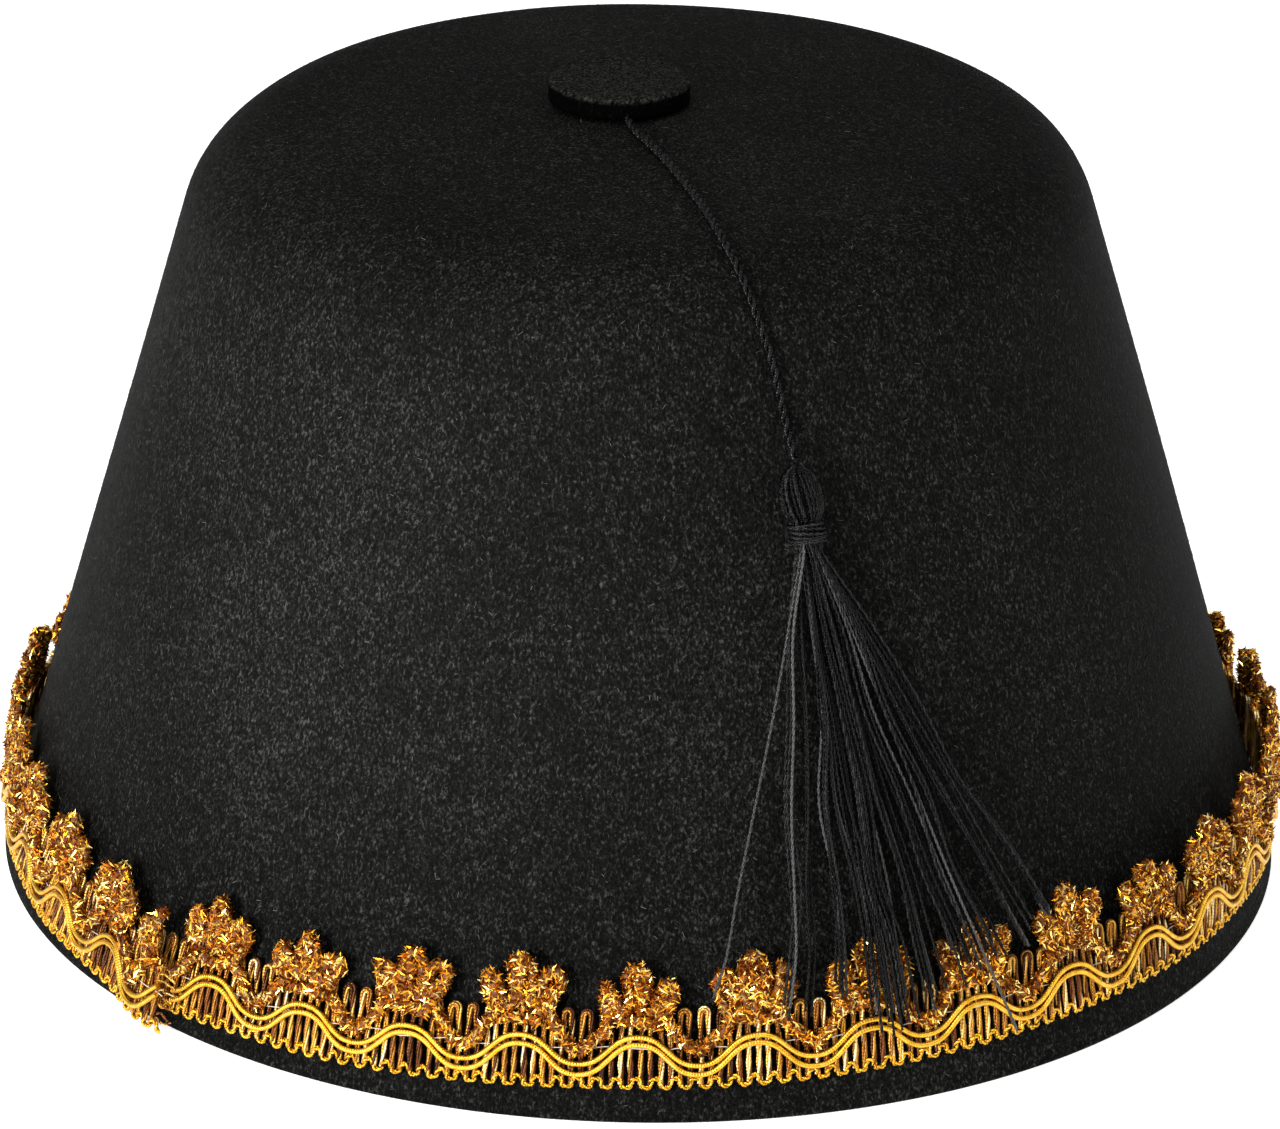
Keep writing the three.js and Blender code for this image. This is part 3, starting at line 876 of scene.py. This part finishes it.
stitch = {
    "rise": 6.2,
    "strays": [(0.18, 8.7), (0.12, 19.0)],
    "out": 0.85,
    "outStray": (0.06, 37.7),
    "points": 900,
    "yarn": {"plies": 1, "plyRadius": 0.07, "layRadius": 0.0, "turnLength": 5.0, "step": 0.8,
             "sides": 5, "seed": 8},
}


def stitchPath():
    motif = np.linspace(trim["start"], trim["end"], stitch["points"])
    rise = stitch["rise"]
    for size, rate in stitch["strays"]:
        rise = rise + size * np.sin(motif * rate)
    size, rate = stitch["outStray"]
    return trimPoint(motif, rise, stitch["out"] + size * np.sin(motif * rate))


finishPiece(spinYarn("sewingThread", [stitchPath()], stitch["yarn"], paleThread), "braid_ground")


# Shells: a chenille cord that climbs a leg, makes three petals and comes down the other leg

shells = {
    "leg": [(-8.3, 5.9), (-6.3, 7.5), (-4.5, 9.2), (-3.7, 11.2)],
    "petal": [(-4.8, 13.0), (-5.3, 14.8), (-4.3, 15.9), (-3.1, 14.4), (-2.2, 11.8)],
    "middle": [(-1.3, 12.4), (-1.5, 15.0), (-1.0, 17.0), (0.0, 17.8)],
    "filling": [[(-3.2, 10.2), (0.0, 10.5), (3.2, 10.2)], [(0.0, 11.4), (0.1, 13.6), (0.0, 16.9)],
                [(-2.6, 10.6), (-3.6, 12.6), (-4.3, 14.6)], [(2.6, 10.6), (3.6, 12.6), (4.3, 14.6)]],
    "out": 1.45,
    "reach": 2.6,            # how far the pile stands out from the trim's back
    "endMotif": 35.8,        # half a shell, pinched, where the strip was cut
    "growth": (-0.02, 0.09),
    "growthFrom": (9, 17),
    "jitter": 0.3,
    "jitterFrom": (7, 10),
    "ripple": (0.22, 0.55),
    "rippleStart": (0, 6),
    "core": {"plies": 1, "plyRadius": 0.76, "layRadius": 0.0, "turnLength": 5.0, "step": 0.9,
             "sides": 7, "seed": 9},
    "fleck": {"perSquareMm": 6.4, "lean": 0.8, "shortest": 0.6, "longest": 1.3, "seed": 41},
    "fleckLength": 1.3,
    "fleckWidth": 0.38,
    "fleckRise": 0.16,
}


def shellPaths():
    draw = random.Random(77)
    climb = shells["leg"] + shells["petal"] + shells["middle"]
    whole = climb + [(-x, y) for x, y in climb[-2::-1]]
    jobs = [(motif, 1.0, shape) for motif in range(trim["motifs"]) for shape in [whole, *shells["filling"]]]
    pinch = 2 * (shells["endMotif"] - trim["motifs"] + 0.5)
    jobs += [(shells["endMotif"], pinch, climb), (shells["endMotif"], pinch, shells["filling"][0][:2])]
    paths = []
    for motif, squeeze, shape in jobs:
        shape = np.array(shape)
        grown = 1 + draw.uniform(*shells["growth"]) * smoothstep(shape[:, 1], *shells["growthFrom"])
        jitter = np.array([[draw.gauss(0, shells["jitter"]) for _ in range(2)] for _ in shape])
        shape = shape * np.stack([np.full_like(grown, squeeze), grown], axis=1)
        shape = shape + jitter * smoothstep(shape[:, 1:], *shells["jitterFrom"])
        line = curveThrough(shape, 4)
        size, rate = shells["ripple"]
        phase = np.arange(len(line)) * rate + draw.uniform(*shells["rippleStart"])
        depth = shells["out"] + size * np.sin(phase)
        paths.append(trimPoint(motif + line[:, 0] / motifLength, line[:, 1], depth))
    return paths


def fleckGrain():
    # a sliver of two facets that meet along a raised spine
    half, side, rise = shells["fleckLength"] / 2, shells["fleckWidth"] / 2, shells["fleckRise"]
    places = np.array([(-half, 0, rise), (half, 0, rise), (0, -side, 0), (0, side, 0)]) * mm
    mesh = bpy.data.meshes.new("fleck")
    mesh.from_pydata(places.tolist(), [], [(0, 2, 1), (0, 1, 3)])
    return addObject("fleck", mesh)


def makeShells():
    core = spinYarn("shellCores", shellPaths(), shells["core"], fleckCore)
    host = addObject("fleckHost", core.data.copy())
    flecks = scatter("shellFlecks", host, fleckGrain(), shells["fleck"], fleckGold)
    finishPiece(core, "chenille_gold", "trim_shells")
    finishPiece(flecks, "chenille_gold")


makeShells()
print("trim made")


# Tassel cord: the route of the solid, laid down on the felt, from under the button to the tassel's head

cordRoute = [
    (-1.6, -11.2, 117.1), (-0.6, -14.8, 116.8), (0.8, -18.1, 116.6), (2.9, -23.4, 116.3),
    (5.0, -29.7, 116.0), (7.1, -36.4, 115.6), (9.1, -43.2, 115.1), (11.1, -50.9, 114.3),
    (13.1, -56.6, 112.4), (14.9, -60.2, 109.4), (16.4, -62.8, 105.9), (17.8, -64.3, 102.2),
    (18.9, -65.3, 97.8), (20.0, -66.6, 93.1), (20.8, -68.4, 90.6), (21.4, -69.9, 88.9)]
cord = {
    "diameter": 1.3,
    "yarn": {"plies": 2, "plyRadius": 0.33, "layRadius": 0.31, "turnLength": 3.4, "step": 0.3, "sides": 7,
             "seed": 12},
}
cordLine = curveThrough(cordRoute, 8)
underButton = np.array([(-2.1, -9.7, 117.5)])        # its knot is hidden by the felt
cordPath = np.vstack([underButton, cordLine])
tasselCord = spinYarn("tasselCord", [cordPath], cord["yarn"], blackSilk)
finishPiece(tasselCord, "silk_black", "tassel_cord")


# Tassel: threads folded over the cord's end, bound at the neck and left to hang

tassel = {
    "headTop": np.array([21.5, -70.4, 88.2]),
    "neckFoot": np.array([23.4, -73.4, 76.2]),
    "headThreads": 30,
    "headShape": [(0.4, 1.7), (4.3, 1.85), (6.0, 2.6), (8.4, 2.75), (10.6, 2.2), (11.8, 1.2), (12.3, 0.4)],
    "bindingFrom": 1.5,
    "bindingTo": 4.4,
    "bindingRadius": 2.5,
    "bindingTurns": 6,
    "bindingStray": (0.22, 0.21),
    "bindingLoose": (0.12, 0.37),
    "thread": {"plies": 2, "plyRadius": 0.14, "layRadius": 0.12, "turnLength": 2.0, "step": 0.5, "sides": 4,
               "seed": 14},
    "rootRise": 2.0,
    "rootSpread": 1.35,
    "rootDepth": 1.3,
    "footSpread": 0.2,       # beyond the root's
    "footDepth": 1.5,
    "layers": 1.5,           # how deep the threads lie over each other on the trim
    "endIn": 0.3,
    "airPlaces": (0.2, 0.42, 0.64, 0.84),
    "airSags": (0.25, 0.7, 0.8, 0.35),
    "passHeight": 25.0,
    "clear": 0.5,
    "locks": [               # angle and height where each lock ends, its threads and how far they spread
        (12.4, 17.2, 4, 0.25), (14.3, 17.0, 5, 0.3), (17.6, 19.0, 6, 0.6), (20.0, 16.4, 9, 0.7),
        (22.0, 13.8, 12, 0.7), (24.8, 16.3, 10, 0.9), (28.2, 19.2, 9, 0.9), (31.0, 19.2, 8, 0.8),
        (33.8, 21.6, 6, 0.7), (36.3, 24.6, 6, 0.4)],
    "lockSway": 0.5,
    "threadSway": 0.28,
    "threadDrop": 1.5,
    "strays": [(6.3, 19.3), (32.4, 8.4)],
    "strayFrom": 12.4,       # the angles that the neck's width is shared out over
    "straySpan": 24,
    "strayDepth": 0.8,
    "straySway": [0.3, 0.5, 0.3, 0.0],
    "paleEvery": 9,          # one thread in so many gets a paler colour, a painted highlight for threads that catch the light
}
tasselAxis = tassel["headTop"] - tassel["neckFoot"]
tasselAxis = tasselAxis / np.linalg.norm(tasselAxis)
neckAngle = math.atan2(tassel["neckFoot"][0], -tassel["neckFoot"][1])
neckAcross = np.array([math.cos(neckAngle), math.sin(neckAngle), 0.0])
neckOut = np.cross(tasselAxis, neckAcross)


def aroundNeck(along, radius, turn):
    along, radius, turn = np.broadcast_arrays(along, radius, turn)
    ring = np.cos(turn)[:, None] * neckAcross - np.sin(turn)[:, None] * neckOut
    return tassel["neckFoot"] + along[:, None] * tasselAxis + radius[:, None] * ring


def headPaths():
    draw = random.Random(19)
    shape = curveThrough(tassel["headShape"], 4)
    paths = []
    for k in range(tassel["headThreads"]):
        turn = 2 * math.pi * k / tassel["headThreads"] + draw.uniform(-0.08, 0.08)
        twist = 0.05 * shape[:, 0] * draw.uniform(0.4, 1.2)
        paths.append(aroundNeck(shape[:, 0], shape[:, 1] + draw.uniform(-0.15, 0.1), turn + twist))
    return paths


def bindingPath():
    turn = np.linspace(0, 2 * math.pi * tassel["bindingTurns"], 40 * tassel["bindingTurns"])
    along = np.linspace(tassel["bindingFrom"], tassel["bindingTo"], len(turn))
    size, rate = tassel["bindingStray"]
    along = along + size * np.sin(turn + rate * turn)
    size, rate = tassel["bindingLoose"]
    return aroundNeck(along, tassel["bindingRadius"] + size * np.sin(turn * rate), turn)


def overTrim(angle, height, clear):
    foot, lean = sewnAt((angle - trim["firstAngle"]) / trim["motifAngle"])
    outer = sideRadius(foot) + trim["gap"] + shells["reach"] - (height - foot) * math.tan(lean)
    return hatPoint(angle, outer + clear, height)


def threadPath(order, depth, angle, height, swing):
    # swing is the sideways sway at four places between the neck and the trim
    side, layer = order * 2 - 1, depth * 2 - 1
    root = tassel["neckFoot"] + tasselAxis * tassel["rootRise"]
    root = root + neckAcross * side * tassel["rootSpread"] - neckOut * layer * tassel["rootDepth"]
    foot = tassel["neckFoot"] + neckAcross * side * (tassel["rootSpread"] + tassel["footSpread"])
    foot = foot - neckOut * layer * tassel["footDepth"]
    share = (tassel["neckFoot"][2] - tassel["passHeight"]) / (tassel["neckFoot"][2] - height)
    passAngle = neckAngle + (math.radians(angle) - neckAngle) * min(share, 1.0)
    clear = tassel["clear"] + tassel["layers"] * depth
    over = overTrim(passAngle, max(tassel["passHeight"], height + 1.0), clear)
    end = overTrim(math.radians(angle), height, clear - tassel["endIn"])
    inward = -np.array([math.sin(passAngle), -math.cos(passAngle), 0.0])
    across = np.array([math.cos(passAngle), math.sin(passAngle), 0.0])
    air = []
    for place, sag, sway in zip(tassel["airPlaces"], tassel["airSags"], swing):
        air.append(foot + (over - foot) * place + inward * sag + across * sway)
    return curveThrough([root, foot, *air, over, end], 6)


def skirtPaths():
    draw = random.Random(53)
    paths = []
    last = len(tassel["locks"]) - 1
    for k, (angle, height, threads, spread) in enumerate(tassel["locks"]):
        lockSway = [draw.gauss(0, tassel["lockSway"]) for _ in tassel["airPlaces"]]
        for _ in range(threads):
            order = min(max((k + draw.uniform(-0.9, 0.9)) / last, 0), 1)
            sway = [own + draw.gauss(0, tassel["threadSway"]) for own in lockSway]
            endAngle = angle + draw.gauss(0, spread)
            endHeight = height + draw.gauss(0, tassel["threadDrop"])
            paths.append(threadPath(order, draw.random(), endAngle, endHeight, sway))
    for angle, height in tassel["strays"]:
        order = min(max((angle - tassel["strayFrom"]) / tassel["straySpan"], 0), 1)
        paths.append(threadPath(order, tassel["strayDepth"], angle, height, tassel["straySway"]))
    return paths


def makeTassel():
    head = spinYarn("tasselHead", headPaths(), tassel["thread"], blackSilk)
    binding = spinYarn("tasselBinding", [bindingPath()], tassel["thread"], blackSilk)
    paths = skirtPaths()
    firstStray = len(paths) - len(tassel["strays"])
    # these threads get the paler silk, a painted highlight
    pale = [k for k in range(len(paths)) if k % tassel["paleEvery"] == 0 or k >= firstStray]
    dark = [path for k, path in enumerate(paths) if k not in pale]
    skirt = spinYarn("tasselSkirt", dark, tassel["thread"], blackSilk)
    paintedGlintThreads = spinYarn("tasselWornThreads", [paths[k] for k in pale], tassel["thread"], paintedGlint)
    finishPiece(head, "silk_black")
    finishPiece(binding, "silk_black", "tassel_binding")
    finishPiece(skirt, "silk_black", "tassel")
    finishPiece(paintedGlintThreads, "silk_black")


makeTassel()
print("tassel made")
